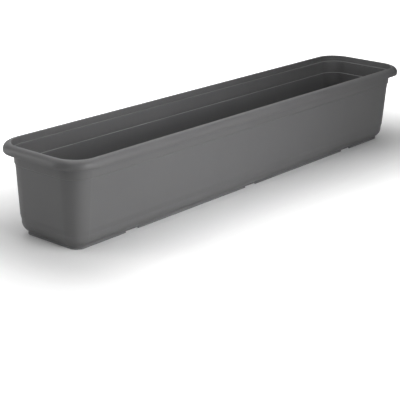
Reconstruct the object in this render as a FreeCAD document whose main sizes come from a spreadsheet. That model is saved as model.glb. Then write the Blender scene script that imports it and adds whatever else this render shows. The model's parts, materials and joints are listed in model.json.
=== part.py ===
import FreeCAD, Part
import math
import os
import Sketcher

# Window box planter: one long moulded trough with a rolled rim, two lift-out drainage grids
# that stand over a shallow water reservoir, and push-in plugs in the drain holes of the floor.
# Millimetres. +X runs along the length, -Y is the front, +Z is up. The origin is on the
# surface that the foot stands on, in the middle of the box.

SIZES = (
    # the box
    ("length", 1000.0, "over the rim, end to end"),
    ("width", 200.0, "over the rim, front to back"),
    ("height", 160.0, "from the ground to the crown of the rim"),
    ("corner_radius", 54.0, "of the rim's outer edge, seen from above"),
    ("wall", 2.5, "thickness of the moulded walls"),
    ("collar_wall", 1.7, "thickness of the wall at the collar, between the two upper ledges"),
    # the rim, each depth measured down from the crown
    ("rim_drop", 15.0, "crown to the lower edge of the lip"),
    ("rim_round", 11.0, "radius of the rim's outer shoulder"),
    ("crown_width", 13.6, "outer face of the lip to the inner edge of the crown"),
    ("crown_round", 1.0, "radius of the crown's inner edge"),
    ("lip_tuck", 0.3, "how far the lower edge of the lip draws in"),
    ("lip_tuck_height", 2.5, "height over which it draws in"),
    ("edge_round", 0.8, "radius of small moulded edges"),
    ("ledge_round", 0.5, "radius of the edges of the inside ledges"),
    # the steps in the wall, each inset measured in from the outer face of the lip
    ("crown_flare", 0.5, "how far the inside of the crown leans inward as it goes down"),
    ("upper_ledge_drop", 11.0, "crown to the upper inside ledge"),
    ("collar_inset", 16.7, "lip to the collar's outer face, at the top"),
    ("collar_lean", 1.1, "how far the collar leans inward as it goes down"),
    ("collar_drop", 36.0, "crown to the foot of the collar"),
    ("collar_step", 1.6, "how far the wall steps in below the collar"),
    ("step_height", 2.0, "height over which the collar steps in"),
    ("wall_lean", 5.6, "how far the wall leans inward from the collar to the shoulder"),
    ("shoulder_height", 35.0, "ground to the shoulder near the bottom"),
    ("shoulder_step", 2.0, "how far the wall steps in at the shoulder"),
    ("shoulder_fall", 9.0, "height over which the shoulder steps in"),
    ("shoulder_round", 6.0, "radius of the shoulder's two edges"),
    ("belly_height", 15.2, "ground to the corner where the wall turns under"),
    ("belly_run", 10.4, "how far the turned-under wall runs inward"),
    ("belly_fall", 10.2, "how far it falls on the way"),
    ("belly_round", 20.0, "outer radius of the turn"),
    ("grid_seat_height", 33.0, "ground to the inside ledge that carries the grids"),
    # the foot and the floor
    ("floor_height", 7.0, "ground to the underside of the floor"),
    ("floor_lap", 8.2, "width of floor that is moulded with the foot rail"),
    ("notch_width", 32.0, "of each gap in the foot rail, along the length"),
    ("notch_height", 3.0, "of each gap in the foot rail"),
    ("notch_pitch", 331.0, "between the gaps in the foot rail"),
    ("rib_spacing", 44.0, "between the two stiffening ribs under the floor"),
    ("rib_thickness", 2.2, "of a stiffening rib"),
    ("rib_end_gap", 24.0, "from the end of a rib to the foot rail"),
    # the drain holes and their plugs
    ("drain_diameter", 12.0, "of each drain hole"),
    ("drain_spacing", 70.0, "between the front and the rear row of drain holes"),
    ("plug_clearance", 0.3, "between a plug's stem and its hole, all round"),
    ("plug_head_diameter", 20.0, "of a plug's head"),
    ("plug_head_thickness", 1.6, "of a plug's head"),
    ("plug_stem_length", 5.5, "below the head"),
    ("plug_stem_wall", 1.6, "of the hollow stem"),
    ("plug_chamfer", 0.8, "lead-in at the end of the stem"),
    ("grip_length", 11.0, "of the finger grip on a plug"),
    ("grip_thickness", 2.2, "of the finger grip"),
    ("grip_height", 5.5, "above the head"),
    # the drainage grids
    ("grid_clearance", 0.6, "between a grid's edge and the wall"),
    ("grid_gap", 1.5, "between the two grids"),
    ("grid_thickness", 2.0, "of a grid's plate"),
    ("grid_corner_round", 3.0, "of a grid's corners where the two meet"),
    ("slot_length", 14.0, "of a drainage slot, along the grid"),
    ("slot_width", 5.0, "of a drainage slot"),
    ("slot_pitch", 21.0, "between slots along a row"),
    ("slot_margin", 14.0, "from the end of a grid to its first slot"),
    ("slot_row_inner", 15.0, "from the middle row of slots to the next"),
    ("slot_row_outer", 61.0, "from the middle row of slots to the outer rows"),
    ("cup_diameter", 28.0, "of a foot cup where it leaves the plate"),
    ("cup_lean", 3.6, "how far the cup's wall leans in from plate to floor"),
    ("cup_wall", 1.8, "thickness of a foot cup"),
    ("cup_row_spacing", 76.0, "between the two rows of foot cups"),
    ("cup_first", 84.0, "from the middle of the box to the first foot cup"),
    ("cup_pitch", 165.0, "between foot cups along a row"),
    ("cup_wick_diameter", 7.0, "of the hole in the bottom of a foot cup"),
)
CUPS_PER_ROW = 3
DRAIN_STATIONS = {"left": -1, "middle": 0, "right": 1}
DRAIN_ROWS = {"front": -1, "rear": 1}

doc = FreeCAD.newDocument("window_box_planter")
sizes = doc.addObject("Spreadsheet::Sheet", "sizes")
for row, (alias, value, note) in enumerate(SIZES, start=1):
    sizes.set(f"A{row}", alias)
    sizes.set(f"B{row}", str(value))
    sizes.set(f"C{row}", note)
    sizes.setAlias(f"B{row}", alias)
doc.recompute()


def size(alias):
    """A driving dimension as an expression."""
    return f"sizes.{alias}"


def value_of(expression):
    """What an expression on the sheet comes to, in millimetres."""
    answer = sizes.evalExpression(expression)
    return float(getattr(answer, "Value", answer))


def plane(body, role):
    return next(part for part in body.Origin.OriginFeatures if part.Role == role)


def new_body(label):
    body = doc.addObject("PartDesign::Body", label)
    body.Label = label
    return body


def new_sketch(body, name, role, lift=None):
    """An empty sketch on one of the body's own planes, raised by an expression if one is given."""
    sketch = body.newObject("Sketcher::SketchObject", name)
    sketch.AttachmentSupport = [(plane(body, role), "")]
    sketch.MapMode = "FlatFace"
    if lift:
        sketch.setExpression("AttachmentOffset.Base.z", lift)
    return sketch


def bind(sketch, kind, *where_and_expression):
    """A dimension of the sketch that follows an expression."""
    *where, expression = where_and_expression
    index = sketch.addConstraint(Sketcher.Constraint(kind, *where, value_of(expression)))
    sketch.setExpression(f"Constraints[{index}]", expression)


def draw_outline(sketch, corners):
    """A closed outline of straight runs. Each corner is (x, y) or (x, y, radius), in expressions:
    a corner with a radius is rounded by an arc that is tangent to both its runs."""
    spots = [FreeCAD.Vector(value_of(c[0]), value_of(c[1]), 0) for c in corners]
    count = len(corners)
    trims = []
    for i, corner in enumerate(corners):
        back = (spots[i - 1] - spots[i]).normalize()
        ahead = (spots[(i + 1) % count] - spots[i]).normalize()
        if len(corner) == 3:
            half_turn = back.getAngle(ahead) / 2
            reach = value_of(corner[2]) / math.tan(half_turn)
            trims.append((spots[i] + back * reach, spots[i] + ahead * reach))
        else:
            trims.append((spots[i], spots[i]))
    runs = []
    for i in range(count):
        run = Part.LineSegment(trims[i][1], trims[(i + 1) % count][0])
        runs.append(sketch.addGeometry(run, False))
    for i, corner in enumerate(corners):
        before, after = runs[i - 1], runs[i]
        if len(corner) == 3:
            round_corner(sketch, corner, spots[i], trims[i], before, after)
        else:
            sketch.addConstraint(Sketcher.Constraint("Coincident", before, 2, after, 1))
            bind(sketch, "DistanceX", -1, 1, after, 1, corner[0])
            bind(sketch, "DistanceY", -1, 1, after, 1, corner[1])


def round_corner(sketch, corner, spot, trim, before, after):
    """The arc between two runs, held by the point where the runs would meet."""
    start, finish = trim
    toward_centre = ((start + finish) * 0.5 - spot).normalize()
    radius = value_of(corner[2])
    reach = (start - spot).Length
    centre = spot + toward_centre * (reach * reach + radius * radius) ** 0.5
    middle = centre - toward_centre * radius
    arc = sketch.addGeometry(Part.Arc(start, middle, finish), False)
    first, last = (1, 2)
    if (sketch.getPoint(arc, 1) - start).Length > (sketch.getPoint(arc, 2) - start).Length:
        first, last = (2, 1)
    meeting = sketch.addGeometry(Part.Point(spot), True)
    sketch.addConstraint(Sketcher.Constraint("Tangent", before, 2, arc, first))
    sketch.addConstraint(Sketcher.Constraint("Tangent", arc, last, after, 1))
    sketch.addConstraint(Sketcher.Constraint("PointOnObject", meeting, 1, before))
    sketch.addConstraint(Sketcher.Constraint("PointOnObject", meeting, 1, after))
    bind(sketch, "DistanceX", -1, 1, meeting, 1, corner[0])
    bind(sketch, "DistanceY", -1, 1, meeting, 1, corner[1])
    bind(sketch, "Radius", arc, corner[2])


def draw_circle(sketch, x, y, radius):
    spot = FreeCAD.Vector(value_of(x), value_of(y), 0)
    circle = Part.Circle(spot, FreeCAD.Vector(0, 0, 1), value_of(radius))
    index = sketch.addGeometry(circle, False)
    bind(sketch, "DistanceX", -1, 1, index, 3, x)
    bind(sketch, "DistanceY", -1, 1, index, 3, y)
    bind(sketch, "Radius", index, radius)
    return index


def draw_box(sketch, x_low, x_high, y_low, y_high):
    draw_outline(sketch, [(x_low, y_low), (x_high, y_low), (x_high, y_high), (x_low, y_high)])


# Distances in from the outer face of the lip, and heights above the ground, that the trough
# and the grids share.
LIP_BOTTOM = f"({size('height')} - {size('rim_drop')})"
UPPER_LEDGE = f"({size('height')} - {size('upper_ledge_drop')})"
COLLAR_FOOT = f"({size('height')} - {size('collar_drop')})"
COLLAR_FOOT_INSET = f"({size('collar_inset')} + {size('collar_lean')})"
WALL_TOP_INSET = f"({COLLAR_FOOT_INSET} + {size('collar_step')})"
SHOULDER_INSET = f"({WALL_TOP_INSET} + {size('wall_lean')})"
BELLY_INSET = f"({SHOULDER_INSET} + {size('shoulder_step')})"
FOOT_INSET = f"({BELLY_INSET} + {size('belly_run')})"
FOOT_INNER_INSET = f"({FOOT_INSET} + {size('wall')})"
FLOOR_TOP = f"({size('floor_height')} + {size('wall')})"
INNER_SHOULDER_INSET = f"({SHOULDER_INSET} + {size('wall')})"
GRID_TOP = f"({size('grid_seat_height')} + {size('grid_thickness')})"


def ring_corners(inset):
    """The box's rounded plan, drawn in by the inset, as an outline for a sketch on the ground."""
    half_x = f"({size('length')} / 2 - {inset})"
    half_y = f"({size('width')} / 2 - {inset})"
    radius = f"({size('corner_radius')} - {inset})"
    return half_x, half_y, radius


def trough_section(sketch):
    """The wall's section at the middle of the front, from the rim to the foot."""
    belly_length = f"sqrt({size('belly_run')} ^ 2 + {size('belly_fall')} ^ 2)"
    inner_belly_height = (
        f"({size('belly_height')} + {size('wall')}"
        f" * ({belly_length} - {size('belly_fall')}) / {size('belly_run')})"
    )
    inner_belly_inset = f"({BELLY_INSET} + {size('wall')})"
    floor_meets_belly = (
        f"({inner_belly_inset} + ({inner_belly_height} - {FLOOR_TOP})"
        f" * {size('belly_run')} / {size('belly_fall')})"
    )
    crown_foot_inset = f"({size('crown_width')} + {size('crown_flare')})"
    upper_ledge_edge = f"({size('collar_inset')} + {size('collar_wall')})"
    collar_inner_foot = f"({COLLAR_FOOT_INSET} + {size('collar_wall')})"
    lap_inset = f"({FOOT_INNER_INSET} + {size('floor_lap')})"
    shoulder_foot = f"({size('shoulder_height')} - {size('shoulder_fall')})"
    edge = size("edge_round")
    ledge = size("ledge_round")
    inset_height_radius = [
        # over the rim, from the lower edge of the lip to the inside of the crown
        (size("lip_tuck"), LIP_BOTTOM, f"{size('wall')} / 3"),
        ("0", f"{LIP_BOTTOM} + {size('lip_tuck_height')}"),
        ("0", size("height"), size("rim_round")),
        (size("crown_width"), size("height"), size("crown_round")),
        # down the inside, over two ledges to the one that carries the grids
        (crown_foot_inset, UPPER_LEDGE, ledge),
        (upper_ledge_edge, f"{UPPER_LEDGE} - {ledge} / 2", ledge),
        (collar_inner_foot, COLLAR_FOOT, ledge),
        (f"{WALL_TOP_INSET} + {size('wall')}", f"{COLLAR_FOOT} - {ledge} / 2", ledge),
        (INNER_SHOULDER_INSET, size("grid_seat_height")),
        (inner_belly_inset, size("grid_seat_height")),
        (inner_belly_inset, inner_belly_height, f"{size('belly_round')} - {size('wall')}"),
        # the edge of the floor, inside and underneath
        (floor_meets_belly, FLOOR_TOP),
        (lap_inset, FLOOR_TOP),
        (lap_inset, size("floor_height")),
        # the foot rail
        (FOOT_INNER_INSET, size("floor_height")),
        (FOOT_INNER_INSET, "0"),
        (FOOT_INSET, "0"),
        (FOOT_INSET, f"{size('belly_height')} - {size('belly_fall')}"),
        # up the outside, over the shoulder and the collar
        (BELLY_INSET, size("belly_height"), size("belly_round")),
        (BELLY_INSET, shoulder_foot, size("shoulder_round")),
        (SHOULDER_INSET, size("shoulder_height"), size("shoulder_round")),
        (WALL_TOP_INSET, f"{COLLAR_FOOT} - {size('step_height')} / 2", edge),
        (COLLAR_FOOT_INSET, f"{COLLAR_FOOT} + {size('step_height')} / 2", edge),
        # the hollow under the rim, and back to the lip
        (size("collar_inset"), f"{UPPER_LEDGE} - {size('wall')}"),
        (f"{crown_foot_inset} - {size('wall')}", f"{UPPER_LEDGE} - {size('wall')}"),
        (f"{size('crown_width')} - {size('wall')}", f"{size('height')} - {size('wall')}"),
        (
            size("wall"),
            f"{size('height')} - {size('wall')}",
            f"{size('rim_round')} - {size('wall')}",
        ),
        (f"{size('lip_tuck')} + {size('wall')}", LIP_BOTTOM, f"{size('wall')} / 3"),
    ]
    corners = []
    for inset, above_ground, *radius in inset_height_radius:
        corners.append((f"{inset} - {size('width')} / 2", above_ground, *radius))
    draw_outline(sketch, corners)


def make_trough():
    """The box itself: its section swept once round the plan, and its floor."""
    body = new_body("planter_trough")
    section = new_sketch(body, "wall_section", "YZ_Plane")
    trough_section(section)
    path = new_sketch(body, "rim_path", "XY_Plane")
    half_x, half_y, radius = ring_corners("0")
    draw_outline(
        path,
        [
            ("0", f"-{half_y}"),
            (half_x, f"-{half_y}", radius),
            (half_x, half_y, radius),
            (f"-{half_x}", half_y, radius),
            (f"-{half_x}", f"-{half_y}", radius),
        ],
    )
    walls = body.newObject("PartDesign::AdditivePipe", "walls")
    walls.Profile = section
    walls.Spine = path
    walls.Mode = "Frenet"

    floor_plan = new_sketch(body, "floor_plan", "XY_Plane", size("floor_height"))
    # the floor reaches half way over the lap that is moulded with the foot rail
    half_x, half_y, radius = ring_corners(f"({FOOT_INNER_INSET} + {size('floor_lap')} / 2)")
    draw_outline(
        floor_plan,
        [
            (f"-{half_x}", f"-{half_y}", radius),
            (half_x, f"-{half_y}", radius),
            (half_x, half_y, radius),
            (f"-{half_x}", half_y, radius),
        ],
    )
    floor = body.newObject("PartDesign::Pad", "floor")
    floor.Profile = floor_plan
    floor.setExpression("Length", size("wall"))

    rib_plan = new_sketch(body, "rib_plan", "XY_Plane")
    rib_reach = f"({size('length')} / 2 - {FOOT_INNER_INSET} - {size('rib_end_gap')})"
    for side in (-1, 1):
        middle = f"{side} * {size('rib_spacing')} / 2"
        half = f"{size('rib_thickness')} / 2"
        draw_box(rib_plan, f"-{rib_reach}", rib_reach, f"{middle} - {half}", f"{middle} + {half}")
    ribs = body.newObject("PartDesign::Pad", "stiffening_ribs")
    ribs.Profile = rib_plan
    ribs.setExpression("Length", f"{size('floor_height')} + {size('wall')} / 2")

    notch_plan = new_sketch(body, "notch_plan", "XY_Plane")
    notch_reach = f"{size('width')} / 2"
    for station in DRAIN_STATIONS.values():
        middle = f"{station} * {size('notch_pitch')}"
        half = f"{size('notch_width')} / 2"
        draw_box(
            notch_plan, f"{middle} - {half}", f"{middle} + {half}", f"-{notch_reach}", notch_reach
        )
    notches = body.newObject("PartDesign::Pocket", "foot_notches")
    notches.Profile = notch_plan
    notches.Reversed = True
    notches.setExpression("Length", size("notch_height"))

    drain_plan = new_sketch(body, "drain_plan", "XY_Plane")
    for station in DRAIN_STATIONS.values():
        for row in DRAIN_ROWS.values():
            draw_circle(
                drain_plan,
                f"{station} * {size('notch_pitch')}",
                f"{row} * {size('drain_spacing')} / 2",
                f"{size('drain_diameter')} / 2",
            )
    drains = body.newObject("PartDesign::Pocket", "drain_holes")
    drains.Profile = drain_plan
    drains.Reversed = True
    drains.setExpression("Length", f"{FLOOR_TOP} + {size('wall')}")
    body.Tip = drains
    return body


def make_grid(label, turned):
    """Half of the false floor: a slotted plate on hollow foot cups that stand on the floor."""
    body = new_body(label)
    edge_inset = f"({INNER_SHOULDER_INSET} + {size('grid_clearance')})"
    far, half_y, radius = ring_corners(edge_inset)
    near = f"({size('grid_gap')} / 2)"
    outline = new_sketch(body, "plate_plan", "XY_Plane", size("grid_seat_height"))
    draw_outline(
        outline,
        [
            (near, f"-{half_y}", size("grid_corner_round")),
            (far, f"-{half_y}", radius),
            (far, half_y, radius),
            (near, half_y, size("grid_corner_round")),
        ],
    )
    plate = body.newObject("PartDesign::Pad", "plate")
    plate.Profile = outline
    plate.setExpression("Length", size("grid_thickness"))

    cup_depth = f"({size('grid_seat_height')} - {FLOOR_TOP})"
    lean_angle = f"atan({size('cup_lean')} / {cup_depth})"
    cup_radius = f"{size('cup_diameter')} / 2"
    centres = []
    for row in (-1, 1):
        for place in range(CUPS_PER_ROW):
            x = f"{size('cup_first')} + {place} * {size('cup_pitch')}"
            centres.append((x, f"{row} * {size('cup_row_spacing')} / 2"))
    cup_plan = new_sketch(body, "cup_plan", "XY_Plane", size("grid_seat_height"))
    hollow_plan = new_sketch(body, "hollow_plan", "XY_Plane", GRID_TOP)
    wick_plan = new_sketch(body, "wick_plan", "XY_Plane", GRID_TOP)
    for x, y in centres:
        draw_circle(cup_plan, x, y, cup_radius)
        draw_circle(hollow_plan, x, y, f"{cup_radius} - {size('cup_wall')}")
        draw_circle(wick_plan, x, y, f"{size('cup_wick_diameter')} / 2")
    cups = body.newObject("PartDesign::Pad", "foot_cups")
    cups.Profile = cup_plan
    cups.Reversed = True
    cups.setExpression("Length", cup_depth)
    cups.setExpression("TaperAngle", f"-{lean_angle}")
    hollows = body.newObject("PartDesign::Pocket", "cup_hollows")
    hollows.Profile = hollow_plan
    hollow_depth = f"{cup_depth} + {size('grid_thickness')} - {size('cup_wall')}"
    hollows.setExpression("Length", hollow_depth)
    hollows.setExpression("TaperAngle", f"-{lean_angle}")
    wicks = body.newObject("PartDesign::Pocket", "wick_holes")
    wicks.Profile = wick_plan
    wicks.setExpression("Length", f"{cup_depth} + 2 * {size('grid_thickness')}")

    slot_plan = new_sketch(body, "slot_plan", "XY_Plane", GRID_TOP)
    first_slot = f"{near} + {size('slot_margin')}"
    half_width = f"{size('slot_width')} / 2"
    end_round = f"{half_width} - 0.01"
    rows = [f"{side} * {size('slot_row_outer')}" for side in (-1, 1)]
    rows += [f"{side} * {size('slot_row_inner')}" for side in (-1, 0, 1)]
    for middle in rows:
        low, high = f"{middle} - {half_width}", f"{middle} + {half_width}"
        end = f"{first_slot} + {size('slot_length')}"
        draw_outline(
            slot_plan,
            [
                (first_slot, low, end_round),
                (end, low, end_round),
                (end, high, end_round),
                (first_slot, high, end_round),
            ],
        )
    slots = body.newObject("PartDesign::Pocket", "slots")
    slots.Profile = slot_plan
    slots.setExpression("Length", f"2 * {size('grid_thickness')}")
    slot_rows = body.newObject("PartDesign::LinearPattern", "slot_rows")
    slot_rows.Originals = [slots]
    slot_rows.Direction = (slot_plan, ["H_Axis"])
    run = f"({far} - {near} - {radius} - {size('slot_margin')} - {size('slot_length')})"
    steps = f"floor({run} / {size('slot_pitch')})"
    slot_rows.setExpression("Length", f"{steps} * {size('slot_pitch')}")
    slot_rows.setExpression("Occurrences", f"{steps} + 1")
    body.Tip = slot_rows
    if turned:
        body.Placement = FreeCAD.Placement(
            FreeCAD.Vector(0, 0, 0), FreeCAD.Rotation(FreeCAD.Vector(0, 0, 1), 180)
        )
    return body


def make_plug(label, station, row):
    """A push-in stopper: a head that lies on the floor, a hollow stem in the hole, and a grip."""
    body = new_body(label)
    stem = f"({size('drain_diameter')} / 2 - {size('plug_clearance')})"
    head = f"{size('plug_head_diameter')} / 2"
    bore = f"({stem} - {size('plug_stem_wall')})"
    length = size("plug_stem_length")
    thickness = size("plug_head_thickness")
    section = new_sketch(body, "plug_section", "XZ_Plane")
    draw_outline(
        section,
        [
            ("0", "0"),
            (bore, "0"),
            (bore, f"-{length}"),
            (f"{stem} - {size('plug_chamfer')}", f"-{length}"),
            (stem, f"{size('plug_chamfer')} - {length}"),
            (stem, "0"),
            (head, "0"),
            (head, thickness, f"{thickness} / 2"),
            ("0", thickness),
        ],
    )
    turned = body.newObject("PartDesign::Revolution", "head_and_stem")
    turned.Profile = section
    turned.ReferenceAxis = (section, ["V_Axis"])
    turned.Angle = 360
    grip_plan = new_sketch(body, "grip_plan", "XY_Plane", f"{thickness} / 2")
    half_x = f"{size('grip_length')} / 2"
    half_y = f"{size('grip_thickness')} / 2"
    corner = f"{half_y} - 0.01"
    draw_outline(
        grip_plan,
        [
            (f"-{half_x}", f"-{half_y}", corner),
            (half_x, f"-{half_y}", corner),
            (half_x, half_y, corner),
            (f"-{half_x}", half_y, corner),
        ],
    )
    grip = body.newObject("PartDesign::Pad", "grip")
    grip.Profile = grip_plan
    grip.setExpression("Length", f"{size('grip_height')} + {thickness} / 2")
    body.Tip = grip
    body.setExpression("Placement.Base.x", f"{station} * {size('notch_pitch')}")
    body.setExpression("Placement.Base.y", f"{row} * {size('drain_spacing')} / 2")
    body.setExpression("Placement.Base.z", FLOOR_TOP)
    return body


pieces = [make_trough()]
pieces.append(make_grid("drainage_grid_right", turned=False))
pieces.append(make_grid("drainage_grid_left", turned=True))
for station_name, station in DRAIN_STATIONS.items():
    for row_name, row in DRAIN_ROWS.items():
        pieces.append(make_plug(f"drain_plug_{station_name}_{row_name}", station, row))
doc.recompute()

for part in doc.Objects:
    if "Invalid" in part.State or "Error" in part.State:
        raise RuntimeError(f"{part.Label} did not compute: {part.State}")
for piece in pieces:
    if piece.Shape.isNull() or not piece.Shape.isValid():
        raise RuntimeError(f"{piece.Label} has no valid shape")

os.makedirs("parts", exist_ok=True)
for piece in pieces:
    piece.Shape.exportStep(f"parts/{piece.Label}.step")
    solids = len(piece.Shape.Solids)
    print(f"{piece.Label}: {solids} solid, {piece.Shape.Volume / 1000:.2f} cm3, {piece.Shape.BoundBox}")
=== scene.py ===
import json
import math

import bpy
from mathutils import Matrix, Vector

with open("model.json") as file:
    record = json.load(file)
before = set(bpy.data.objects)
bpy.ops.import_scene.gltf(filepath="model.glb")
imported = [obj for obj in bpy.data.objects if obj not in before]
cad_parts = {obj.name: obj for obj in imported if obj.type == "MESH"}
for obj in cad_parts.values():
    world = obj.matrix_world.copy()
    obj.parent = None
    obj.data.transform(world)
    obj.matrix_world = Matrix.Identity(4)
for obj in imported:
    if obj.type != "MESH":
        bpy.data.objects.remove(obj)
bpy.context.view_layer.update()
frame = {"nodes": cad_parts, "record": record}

# A window box planter, moulded in dark grey polypropylene: the box, its two drainage grids
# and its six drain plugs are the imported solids, and each gets its moulded finish here.

MILLIMETRE = 0.001


# ---------------------------------------------------------------- shader maths

class Value:
    """A socket that arithmetic can be written on."""

    def __init__(self, finish, socket):
        self.finish = finish
        self.socket = socket

    def _math(self, operation, *numbers):
        return self.finish.node("ShaderNodeMath", {"operation": operation}, numbers)

    def __add__(self, other):
        return self._math("ADD", self, other)

    def __radd__(self, other):
        return self._math("ADD", self, other)

    def __sub__(self, other):
        return self._math("SUBTRACT", self, other)

    def __rsub__(self, other):
        return self._math("SUBTRACT", other, self)

    def __mul__(self, other):
        return self._math("MULTIPLY", self, other)

    def __rmul__(self, other):
        return self._math("MULTIPLY", self, other)

    def between(self, low, high):
        """0 below low, 1 above high, and a smooth rise from one to the other."""
        return self.finish.node(
            "ShaderNodeMapRange",
            {"interpolation_type": "SMOOTHSTEP"},
            {"Value": self, "From Min": low, "From Max": high},
            "Result",
        )


class Finish:
    """A material under construction."""

    def __init__(self, name):
        self.material = bpy.data.materials.new(name)
        self.material.use_nodes = True
        self.tree = self.material.node_tree
        self.tree.nodes.clear()
        self.surface = self.tree.nodes.new("ShaderNodeBsdfPrincipled")
        output = self.tree.nodes.new("ShaderNodeOutputMaterial")
        self.tree.links.new(self.surface.outputs["BSDF"], output.inputs["Surface"])

    def node(self, kind, settings, inputs, output=0):
        """One node: its settings first, then the values or links of its sockets."""
        made = self.tree.nodes.new(kind)
        for name, setting in settings.items():
            setattr(made, name, setting)
        pairs = inputs.items() if isinstance(inputs, dict) else enumerate(inputs)
        for where, what in pairs:
            self.feed(made.inputs[where], what)
        return Value(self, made.outputs[output])

    def feed(self, socket, what):
        if isinstance(what, Value):
            self.tree.links.new(what.socket, socket)
        else:
            socket.default_value = what

    def place(self):
        """Where a point is on the piece, in metres."""
        return self.node("ShaderNodeTexCoord", {}, {}, "Object")

    def upward(self, vector):
        """The upward part of a place or of a direction."""
        return self.node("ShaderNodeSeparateXYZ", {}, [vector], "Z")

    def facing_up(self):
        """1 on a level face, 0 on an upright one."""
        return self.upward(self.node("ShaderNodeTexCoord", {}, {}, "Normal"))

    def vector(self, operation, *vectors, output="Vector"):
        return self.node("ShaderNodeVectorMath", {"operation": operation}, vectors, output)

    def stretched(self, place, along):
        """The same place with each axis scaled, so that noise runs along a direction."""
        return self.vector("MULTIPLY", place, along)

    def noise(self, place, grain, detail=2.0, roughness=0.5):
        """Soft noise whose grains are about this many metres across, between 0 and 1."""
        inputs = {"Vector": place, "Scale": 1 / grain, "Detail": detail, "Roughness": roughness}
        return self.node("ShaderNodeTexNoise", {}, inputs, "Fac")

    def shade(self, low, high, factor):
        """A colour between two, each given or worked out."""
        low, high = (ink if isinstance(ink, Value) else (*ink, 1) for ink in (low, high))
        return self.node(
            "ShaderNodeMix",
            {"data_type": "RGBA"},
            {"Factor": factor, "A": low, "B": high},
            "Result",
        )

    def bump(self, height, depth, under=None):
        """A bump whose height of 0 to 1 stands for this many metres."""
        inputs = {"Height": height, "Distance": depth, "Strength": 1.0}
        if under:
            inputs["Normal"] = under
        return self.node("ShaderNodeBump", {}, inputs, "Normal")

    def set(self, **inputs):
        for name, what in inputs.items():
            self.feed(self.surface.inputs[name.replace("_", " ")], what)


def plastic_grey(level):
    """Moulded greys are a touch blue."""
    return (level, level, level + 0.001)


def paper_grey(level):
    return (level, level, level)


# ------------------------------------------------------------------- finishes

# what counts as level, from not at all to fully
LEVEL = (0.45, 0.90)
# heights over which the painted highlight on level faces and the scuffing of the foot come or go
OVER_THE_FLOOR = (100 * MILLIMETRE, 115 * MILLIMETRE)
LOWER_LEDGE_TO_CROWN = (118 * MILLIMETRE, 162 * MILLIMETRE)
FOOT_EDGE = (0.5 * MILLIMETRE, 3 * MILLIMETRE)


def box_plastic():
    """Satin dark grey moulding: a fine even grain, faint cloudiness and very slight sinks.
    Level faces from about 100 mm up carry a painted highlight, paler and a little glossier, the
    lower inside ledge most and the crown hardly at all, and the foot is scuffed where it stands."""
    finish = Finish("box_plastic")
    place = finish.place()
    clouds = finish.noise(place, 90 * MILLIMETRE, 3.0)
    grain = finish.noise(place, 0.9 * MILLIMETRE, 2.0, 0.6)
    sinks = finish.noise(finish.stretched(place, (0.35, 1, 1)), 55 * MILLIMETRE, 1.0)
    streaks = finish.noise(finish.stretched(place, (0.2, 0.2, 1)), 3 * MILLIMETRE, 3.0, 0.6)

    height = finish.upward(place)
    # painted highlight: level faces from about 100 mm up are painted paler, standing in for the
    # light that the inside ledges and crown catch
    painted_highlight = finish.facing_up().between(*LEVEL) * height.between(*OVER_THE_FLOOR)
    painted_highlight = painted_highlight * (0.70 + 0.45 * streaks)
    scuff = (1 - height.between(*FOOT_EDGE)) * streaks.between(0.45, 0.65)

    plain = finish.shade(plastic_grey(0.098), plastic_grey(0.112), clouds)
    toward_crown = height.between(*LOWER_LEDGE_TO_CROWN)
    # the painted highlight is palest on the lower inside ledge and hardly there on the crown
    painted_highlight_grey = finish.shade(plastic_grey(0.195), plastic_grey(0.114), toward_crown)
    with_painted_highlight = finish.shade(plain, painted_highlight_grey, painted_highlight)
    finish.set(
        Base_Color=finish.shade(with_painted_highlight, plastic_grey(0.175), 0.6 * scuff),
        Roughness=0.46 + 0.05 * clouds + 0.04 * grain - 0.05 * painted_highlight + 0.10 * scuff,
        Normal=finish.bump(grain, 0.035 * MILLIMETRE, finish.bump(sinks, 0.25 * MILLIMETRE)),
    )
    return finish.material


def grid_plastic():
    """Near-black reground plastic of the grids: duller, with a coarser grain and dull scuffs."""
    finish = Finish("grid_plastic")
    place = finish.place()
    clouds = finish.noise(place, 40 * MILLIMETRE, 3.0)
    grain = finish.noise(place, 1.4 * MILLIMETRE, 3.0, 0.6)
    scuffs = finish.noise(finish.stretched(place, (0.15, 1, 1)), 7 * MILLIMETRE, 4.0, 0.7)
    marks = scuffs.between(0.60, 0.74)
    finish.set(
        Base_Color=finish.shade(plastic_grey(0.030), plastic_grey(0.046), clouds),
        Roughness=0.52 + 0.10 * marks + 0.05 * grain,
        Normal=finish.bump(grain, 0.06 * MILLIMETRE),
    )
    return finish.material


def plug_plastic():
    """Softer dark plastic of the plugs, a little waxy."""
    finish = Finish("plug_plastic")
    place = finish.place()
    clouds = finish.noise(place, 12 * MILLIMETRE, 2.0)
    grain = finish.noise(place, 0.7 * MILLIMETRE, 2.0, 0.6)
    finish.set(
        Base_Color=finish.shade(plastic_grey(0.046), plastic_grey(0.060), clouds),
        Roughness=0.44 + 0.08 * clouds,
        Normal=finish.bump(grain, 0.03 * MILLIMETRE),
    )
    return finish.material


def dress(node, material):
    mesh = frame["nodes"][node].data
    mesh.materials.clear()
    mesh.materials.append(material)


finishes = {
    "box_plastic": box_plastic(),
    "grid_plastic": grid_plastic(),
    "plug_plastic": plug_plastic(),
}
for part in frame["record"]["subparts"]:
    dress(part["node"], finishes[part["material_slot"]])


# ---------------------------------------------------------------------- stage

FLOOR_HALF = 7.0
BACKDROP_RADIUS = 6.5
BACKDROP_HEIGHT = 5.0
BACKDROP_SIDES = 64
BOUNCE_FLOOR_HEIGHT = -0.5 * MILLIMETRE
# the paper glows from the edge of the box outward, and fully from this far off
GLOW_FULL = 0.40
BOX_HALF = (0.5, 0.1, 0)


def pale_paper(name):
    """Matt white paper with a faint mottle."""
    finish = Finish(name)
    mottle = finish.noise(finish.place(), 400 * MILLIMETRE)
    finish.set(
        Base_Color=finish.shade(paper_grey(0.86), paper_grey(0.88), mottle),
        Roughness=0.9,
    )
    return finish


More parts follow.
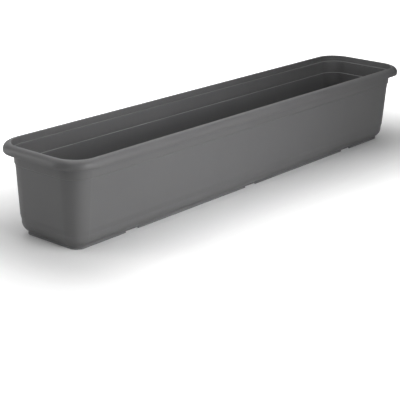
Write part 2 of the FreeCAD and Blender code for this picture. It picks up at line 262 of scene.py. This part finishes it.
def glowing_paper(name):
    """The same paper, lit from behind away from the box, so that it stays white out there."""
    finish = pale_paper(name)
    away = finish.vector("ABSOLUTE", finish.place())
    away = finish.vector("SUBTRACT", away, BOX_HALF)
    away = finish.vector("MAXIMUM", away, (0, 0, 0))
    reach = finish.vector("LENGTH", away, output="Value")
    glow = reach.between(0, GLOW_FULL)
    finish.set(
        Emission_Color=finish.shade(paper_grey(0), paper_grey(0.95), glow),
        Emission_Strength=1.0,
    )
    return finish


def put_on_stage(name, corners, faces, finish, seen):
    """Paper that either the camera sees, or only the light that bounces."""
    mesh = bpy.data.meshes.new(name)
    mesh.from_pydata(corners, [], faces)
    mesh.materials.append(finish.material)
    paper = bpy.data.objects.new(name, mesh)
    paper.visible_camera = seen
    paper.visible_diffuse = paper.visible_glossy = paper.visible_shadow = not seen
    bpy.context.scene.collection.objects.link(paper)


def make_floor(name, height, finish, seen):
    """A square sheet, level, with the box at its middle."""
    ways = ((-1, -1), (1, -1), (1, 1), (-1, 1))
    corners = [(x * FLOOR_HALF, y * FLOOR_HALF, height) for x, y in ways]
    put_on_stage(name, corners, [(0, 1, 2, 3)], finish, seen)


def make_backdrop(name, finish):
    """Paper that stands all round the floor, behind whatever the camera sees."""
    corners, faces = [], []
    for i in range(BACKDROP_SIDES):
        turn = math.tau * i / BACKDROP_SIDES
        x, y = BACKDROP_RADIUS * math.cos(turn), BACKDROP_RADIUS * math.sin(turn)
        corners += [(x, y, 0), (x, y, BACKDROP_HEIGHT)]
        j = (i + 1) % BACKDROP_SIDES
        faces.append((2 * i, 2 * j, 2 * j + 1, 2 * i + 1))
    put_on_stage(name, corners, faces, finish, seen=True)


make_floor("floor", 0, glowing_paper("glowing_paper"), seen=True)
make_floor("bounce_floor", BOUNCE_FLOOR_HEIGHT, pale_paper("plain_paper"), seen=False)
make_backdrop("backdrop", glowing_paper("backdrop_paper"))

# Soft lights, each a panel: where it hangs, what it faces, its width and height, how far its
# light spreads in degrees, and its power in watts.
LEFT_FRONT = (-0.35, -0.1, 0.08)
MIDDLE = (0, 0, 0.1)
LIGHTS = {
    "front_near": ((-0.35, -0.95, 0.45), LEFT_FRONT, (0.5, 0.5), 180, 5.2),
    "front_wide": ((-0.2, -2.0, 0.6), (-0.1, -0.1, 0.08), (0.4, 0.4), 34, 0.36),
    "front_right": ((0.9, -1.9, 1.2), LEFT_FRONT, (0.6, 0.6), 50, 1.2),
    "front_low": ((-0.55, -1.3, 0.2), (-0.42, -0.1, 0.06), (0.3, 0.3), 60, 0.1),
    "over_left": ((-0.6, -0.2, 1.8), (-0.3, 0, 0.08), (1.0, 1.0), 180, 4.4),
    "overhead": ((0.3, 0.2, 1.6), MIDDLE, (1.8, 0.8), 180, 10.9),
    "over_back": ((0.0, 0.9, 1.3), (0, 0.1, 0.15), (2.0, 0.5), 90, 0.9),
    "left_back": ((-1.6, 1.2, 1.0), (-0.4, 0, 0.08), (0.8, 0.8), 180, 8.6),
    "left_back_low": ((-1.2, 1.2, 0.3), (-0.5, 0, 0.08), (0.5, 0.4), 180, 4.2),
    "back": ((0.6, 1.6, 0.7), MIDDLE, (1.4, 0.8), 180, 3.0),
    "right_back": ((1.5, 1.3, 0.8), MIDDLE, (1.2, 1.0), 180, 5.1),
}
FILL = 0.03


def soft_light(name, place, aim, panel_size, spread, power):
    lamp = bpy.data.lights.new(name, "AREA")
    lamp.shape = "RECTANGLE"
    lamp.size, lamp.size_y = panel_size
    lamp.spread = math.radians(spread)
    lamp.energy = power
    panel = bpy.data.objects.new(name, lamp)
    panel.location = place
    panel.rotation_euler = (Vector(aim) - panel.location).to_track_quat("-Z", "Y").to_euler()
    panel.visible_camera = False
    bpy.context.scene.collection.objects.link(panel)


def fill_light(strength):
    """A faint even light from all round."""
    world = bpy.data.worlds.new("studio")
    world.use_nodes = True
    background = world.node_tree.nodes["Background"]
    background.inputs["Color"].default_value = (1, 1, 1, 1)
    background.inputs["Strength"].default_value = strength
    bpy.context.scene.world = world


for name, settings in LIGHTS.items():
    soft_light(name, *settings)
fill_light(FILL)


# --------------------------------------------------------------------- camera

CAMERA_AZIMUTH = -50.767
CAMERA_ELEVATION = 18.939
CAMERA_ROLL = 1.177
CAMERA_DISTANCE = 2.2768
CAMERA_AIM = Vector((-0.0315, 0.0346, -0.0436))
SENSOR = 36.0
FOCAL_PIXELS = 1168.0
PHOTO_PIXELS = 400


def make_camera():
    azimuth, elevation = math.radians(CAMERA_AZIMUTH), math.radians(CAMERA_ELEVATION)
    back = Vector(
        (
            math.sin(azimuth) * math.cos(elevation),
            -math.cos(azimuth) * math.cos(elevation),
            math.sin(elevation),
        )
    )
    lens = bpy.data.cameras.new("camera")
    lens.sensor_width = SENSOR
    lens.lens = SENSOR * FOCAL_PIXELS / PHOTO_PIXELS
    camera = bpy.data.objects.new("camera", lens)
    turn = (-back).to_track_quat("-Z", "Y").to_matrix()
    roll = Matrix.Rotation(math.radians(CAMERA_ROLL), 3, "Z")
    place = Matrix.Translation(CAMERA_AIM + back * CAMERA_DISTANCE)
    camera.matrix_world = place @ (turn @ roll).to_4x4()
    bpy.context.scene.collection.objects.link(camera)
    bpy.context.scene.camera = camera


make_camera()
bpy.context.scene.view_settings.view_transform = "Standard"
